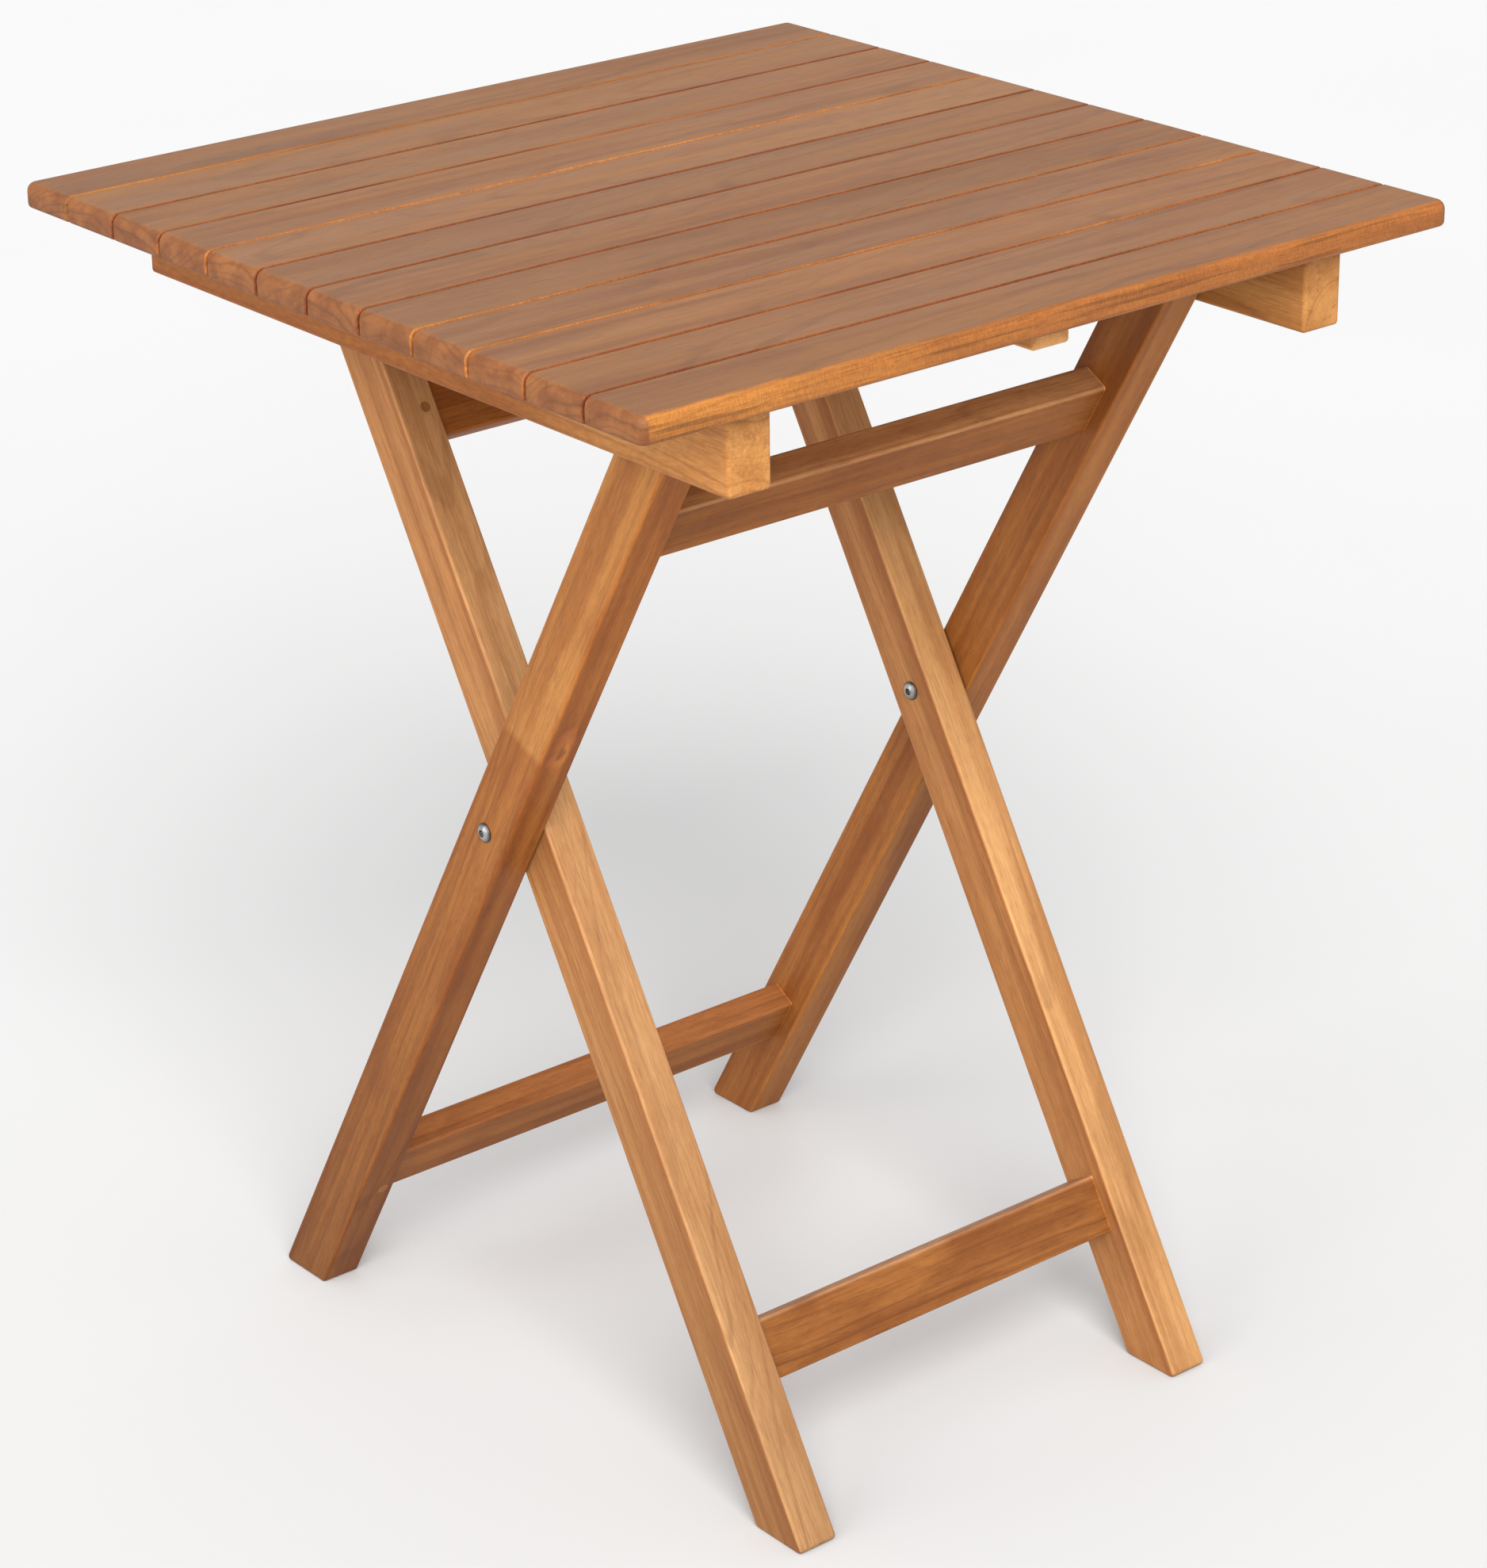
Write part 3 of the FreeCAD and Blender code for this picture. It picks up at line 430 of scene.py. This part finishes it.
def slat_face(board, dry, tone, dust_and_sheen):
    """The upper face of a slat: dry wood under patches of a film with fine dark hairs, which is dust and
    painted sheen.
    """
    graph = board.graph
    dust_and_sheen_film = graph.mix(graph.span(board.noise("dust streaks"), 0.38, 0.62), DUST_AND_SHEEN_TAN, DUST_AND_SHEEN_PINK)
    dust_and_sheen_film = graph.shaded(dust_and_sheen_film, graph.span(board.fibre, 0.2, 0.8, 0.88 * tone, 1.12 * tone))
    dust_and_sheen_film = graph.shaded(dust_and_sheen_film, graph.span(board.rings, 0.54, 0.70, 1.0, 0.90))
    dust_and_sheen_film = graph.shaded(dust_and_sheen_film, graph.span(board.noise("dust hairs"), 0.60, 0.70, 1.02, 0.72))
    # Dust and painted sheen: dust_and_sheen is this slat's share of the film.
    share = graph.span(board.noise("dust patches"), 0.30, 0.70, dust_and_sheen - 0.30, dust_and_sheen + 0.30)
    return graph.mix(share, dry, dust_and_sheen_film)


def slat_wood(number, tone, dust_and_sheen, seam_highlight):
    """A slat: dry and dusty on its upper face, its dust film partly painted sheen, orange on its rounded
    edges, with painted highlight or painted shade beside its seams.
    """
    board = Board(f"slat_{number:02d}")
    graph = board.graph
    dry = board.wood(TOP_WOOD, figure=0.30, tone=tone, fleck=0.04, blotch=0.35, streak=0.30)
    normal = graph.add("SeparateXYZ", {0: graph.add("TexCoord").outputs["Normal"]}).outputs
    flecks = board.noise("edge flecks")
    edge = slat_edge(board, dry, normal, flecks)
    if 1 < number < len(SLATS):
        edge = slat_seams(board, dry, edge, flecks, seam_highlight)
    face = slat_face(board, dry, tone, dust_and_sheen)
    upward = graph.span(graph.math("ADD", normal[2], board.waver("face edge", 0.30)), 0.80, 0.99)
    board.finish(graph.mix(upward, edge, face), roughness=(0.48, 0.62), gloss=0.33)


def metal(name, colour, roughness, turned=None):
    """Turned metal with fine scratches, a little dull in patches.

    turned names a bolt along X whose axis the heads are turned about: their sockets and rims get painted
    shade.
    """
    material = bpy.data.materials.new(name)
    graph = Graph(material)
    place = graph.add("TexCoord").outputs["Object"]
    patches = graph.noise(place, PATCH_GRAINS, detail=3.0)
    scratches = graph.noise(place, SCRATCH_GRAINS, detail=2.0)
    colour = graph.shaded(colour, graph.span(patches, 0.25, 0.75, 0.82, 1.0))
    if turned:
        low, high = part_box(turned)
        axis = (0.0, (low.y + high.y) / 2, (low.z + high.z) / 2)
        radius = graph.length(graph.offset(graph.scaled(place, (0.0, 1.0, 1.0)), axis))
        # Painted shade: dark in each head's socket and on its rim.
        colour = graph.shaded(colour, graph.span(radius, *HEAD_SOCKET_SHADE, 0.20, 1.0))
        colour = graph.shaded(colour, graph.span(radius, *HEAD_RIM_SHADE, 1.0, 0.25))
    dull = graph.span(patches, 0.3, 0.7, roughness, roughness + 0.14)
    graph.finish(colour, dull, (scratches, *METAL_RELIEF), metallic=1.0)
    return material


# Each slat from the near edge: its tone, its share of the dust film, which is partly painted sheen that greys
# the far slats, and how much painted highlight, against painted shade, it has beside its seams.
SLATS = (
    (1.00, 0.45, 0.5), (1.02, 0.45, 0.3), (1.10, 0.40, 0.6), (1.00, 0.45, 0.7),
    (0.92, 0.45, 0.6), (1.00, 0.50, 0.0), (0.96, 0.55, 0.3), (1.06, 0.75, 0.1),
    (1.02, 0.50, 0.9), (0.97, 0.55, 0.4), (1.00, 0.65, 0.1), (0.94, 0.50, 0.1),
)
for slat_number, (slat_tone, slat_dust_and_sheen, slat_seam_highlight) in enumerate(SLATS, start=1):
    slat_wood(slat_number, slat_tone, slat_dust_and_sheen, slat_seam_highlight)

# Battens and cleats. The left batten is redder on its outer face, apart from its near end.
# The left batten's drift is painted light: it is brighter towards its near end.
plain_wood(
    "batten_left", BATTEN_WOOD, grain=1, figure=0.35, tone=1.05, drift=-0.06, fleck=0.12,
    extras=((Board.layer, (LEFT_FACE, (0.70, 0.53, 0.42), SKIN, (-0.20, -0.06))),),
)
plain_wood("batten_right", BATTEN_WOOD, grain=1, figure=0.40)
plain_wood("batten_middle", BATTEN_WOOD, grain=1, figure=0.3, tone=1.25, shade=(1.10, 1.20, 1.40))
for side in ("left", "right"):
    plain_wood(f"stop_cleat_{side}", BATTEN_WOOD, figure=0.3)

# Legs. The inner ones have pale sapwood over dark heartwood on their near faces, which look up. The
# outer left leg changes colour at a slanting line on its left face, near a knot.
KNOT_PLACE = (-0.184, -0.0672, 0.4640)
# Each leg's drift is painted light and shade: brighter towards its top, darker towards its foot.
LEGS = {
    "outer_leg_left": dict(
        figure=0.25, streak=0.30, tone=0.95, drift=0.34,
        extras=(
            # Painted sheen and light: the left face, which the light from the left falls on, is paler and
            # greyer.
            (Board.layer, (LEFT_FACE, (1.12, 1.18, 1.26))),
            (Board.stain, (LEFT_FACE, 0.122, 0.11, (0.76, 0.64, 0.55))),
            # Painted shade: the near face, which looks down, is darker.
            (Board.layer, (NEAR_FACE, (0.92, 0.76, 0.64))),
            (Board.knot, (KNOT_PLACE, OUTER_LEG_WOOD["line"])),
        ),
    ),
    "outer_leg_right": dict(
        figure=0.15, streak=0.15, tone=0.90, shade=(0.95, 0.83, 0.76), drift=0.12,
        # Painted light: the near face, which looks down, is paler.
        extras=((Board.layer, (NEAR_FACE, (1.12, 1.15, 1.05))),),
    ),
    "inner_leg_left": dict(
        figure=0.35, tone=1.07, shade=(0.98, 1.03, 1.06), drift=0.26,
        extras=(
            (Board.layer, (NEAR_FACE, (0.90, 0.82, 0.76), 0.011)),
            (Board.layer, (NEAR_FACE, (1.38, 1.76, 2.35), 0.002)),
        ),
    ),
    "inner_leg_right": dict(
        figure=0.25, streak=0.25, tone=1.06, drift=0.08,
        extras=(
            (Board.layer, (NEAR_FACE, (0.84, 0.76, 0.70), 0.012)),
            (Board.layer, (NEAR_FACE, (1.55, 2.05, 2.60), 0.002)),
        ),
    ),
}

# What each rail has of its own, and what multiplies its colour on its upward edge: painted light that lifts
# the shade under the table top, with a painted highlight along the arris, pale on all but one.
RAILS = {
    "outer_upper": dict(tone=1.0),
    "outer_lower": dict(tone=0.94),
    "inner_upper": dict(tone=1.35),
    "inner_lower": dict(tone=0.88, figure=0.40, blotch=0.75, shade=(1.0, 1.05, 1.20)),
}
RAIL_SETTINGS = dict(figure=0.2, blotch=0.35, streak=0.25)
PAINTED_LIGHT_EDGE = (1.6, 2.2, 4.2)
RAIL_PAINTED_LIGHT_EDGES = {"outer_lower": (1.05, 1.07, 1.5)}

for frame_name, leg_wood in (("outer", OUTER_LEG_WOOD), ("inner", INNER_LEG_WOOD)):
    lean = LEANS[frame_name]
    shoulder = -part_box(f"{frame_name}_leg_left")[1].x
    for side in ("left", "right"):
        leg = f"{frame_name}_leg_{side}"
        plain_wood(leg, leg_wood, lean, grain=2, **LEGS[leg])
    for level in ("upper", "lower"):
        rail = f"{frame_name}_{level}"
        # Painted light on the rail's upward face, and a painted highlight along its arris.
        edge = RAIL_PAINTED_LIGHT_EDGES.get(rail, PAINTED_LIGHT_EDGE)
        extras = ((Board.layer, (UPPER_FACE, edge)), (Board.glue, (shoulder,)))
        settings = RAIL_SETTINGS | RAILS[rail]
        plain_wood(f"{rail}_rail", RAIL_WOOD, lean, extras=extras, **settings)
        for side in ("left", "right"):
            peg_wood(f"{rail}_peg_{side}", f"{frame_name}_leg_{side}", leg_wood, lean)

# Metal parts. Each head is turned about its own joint's axis, and has painted shade in its socket and on its
# rim.
POLISHED = (0.42, 0.41, 0.39)
METALS = {
    ("pivot_bolt", "pivot_nut"): metal("leg_pivot_steel", POLISHED, 0.22, "pivot_bolt_left"),
    ("top_pivot_bolt",): metal("top_pivot_steel", POLISHED, 0.22, "top_pivot_bolt_left"),
    ("pivot_washer", "top_pivot_washer", "batten_screws"): metal("plated_steel", (0.50, 0.48, 0.43), 0.32),
    ("top_pivot_insert",): metal("brass", (0.72, 0.50, 0.20), 0.30),
}
for starts, material in METALS.items():
    for name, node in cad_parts.items():
        if name.startswith(starts):
            dress(node, material)


def make_camera():
    data = bpy.data.cameras.new("camera")
    data.sensor_width = CAMERA_SENSOR
    data.lens = CAMERA_LENS
    camera = bpy.data.objects.new("camera", data)
    turn = Matrix.Rotation(math.radians(CAMERA_HEADING), 4, "Z")
    turn = turn @ Matrix.Rotation(math.radians(CAMERA_PITCH), 4, "X")
    turn = turn @ Matrix.Rotation(math.radians(CAMERA_ROLL), 4, "Z")
    camera.matrix_world = Matrix.Translation(CAMERA_PLACE) @ turn
    bpy.context.scene.collection.objects.link(camera)
    bpy.context.scene.camera = camera


def make_floor():
    mesh = bpy.data.meshes.new("floor")
    corners = [(x * FLOOR_REACH, y * FLOOR_REACH, 0.0) for x, y in ((-1, -1), (1, -1), (1, 1), (-1, 1))]
    mesh.from_pydata(corners, [], [(0, 1, 2, 3)])
    floor = bpy.data.objects.new("floor", mesh)
    floor.location.z = -FLOOR_DROP
    bpy.context.scene.collection.objects.link(floor)
    material = bpy.data.materials.new("floor")
    graph = Graph(material)
    cloud = graph.noise(graph.add("TexCoord").outputs["Object"], (2.0, 2.0, 2.0), detail=3.0)
    graph.finish(graph.mix(cloud, *FLOOR_SHADES), graph.span(cloud, 0.2, 0.8, 0.85, 0.95))
    dress(floor, material)


def soft_sun(name, heading, height, strength, spread):
    """Even light from far away. heading is the side it comes from, turned from -Y towards -X."""
    data = bpy.data.lights.new(name, "SUN")
    data.energy = strength
    data.angle = math.radians(spread)
    light = bpy.data.objects.new(name, data)
    turn = Matrix.Rotation(math.radians(-heading), 4, "Z")
    light.matrix_world = turn @ Matrix.Rotation(math.radians(90.0 - height), 4, "X")
    bpy.context.scene.collection.objects.link(light)


def make_studio():
    world = bpy.data.worlds.new("studio")
    world.use_nodes = True
    background = world.node_tree.nodes["Background"]
    background.inputs["Color"].default_value = (1.0, 1.0, 1.0, 1.0)
    background.inputs["Strength"].default_value = SURROUND
    bpy.context.scene.world = world
    for name, sun in SUNS.items():
        soft_sun(name, *sun)
    bpy.context.scene.view_settings.view_transform = "Standard"


make_camera()
make_floor()
make_studio()
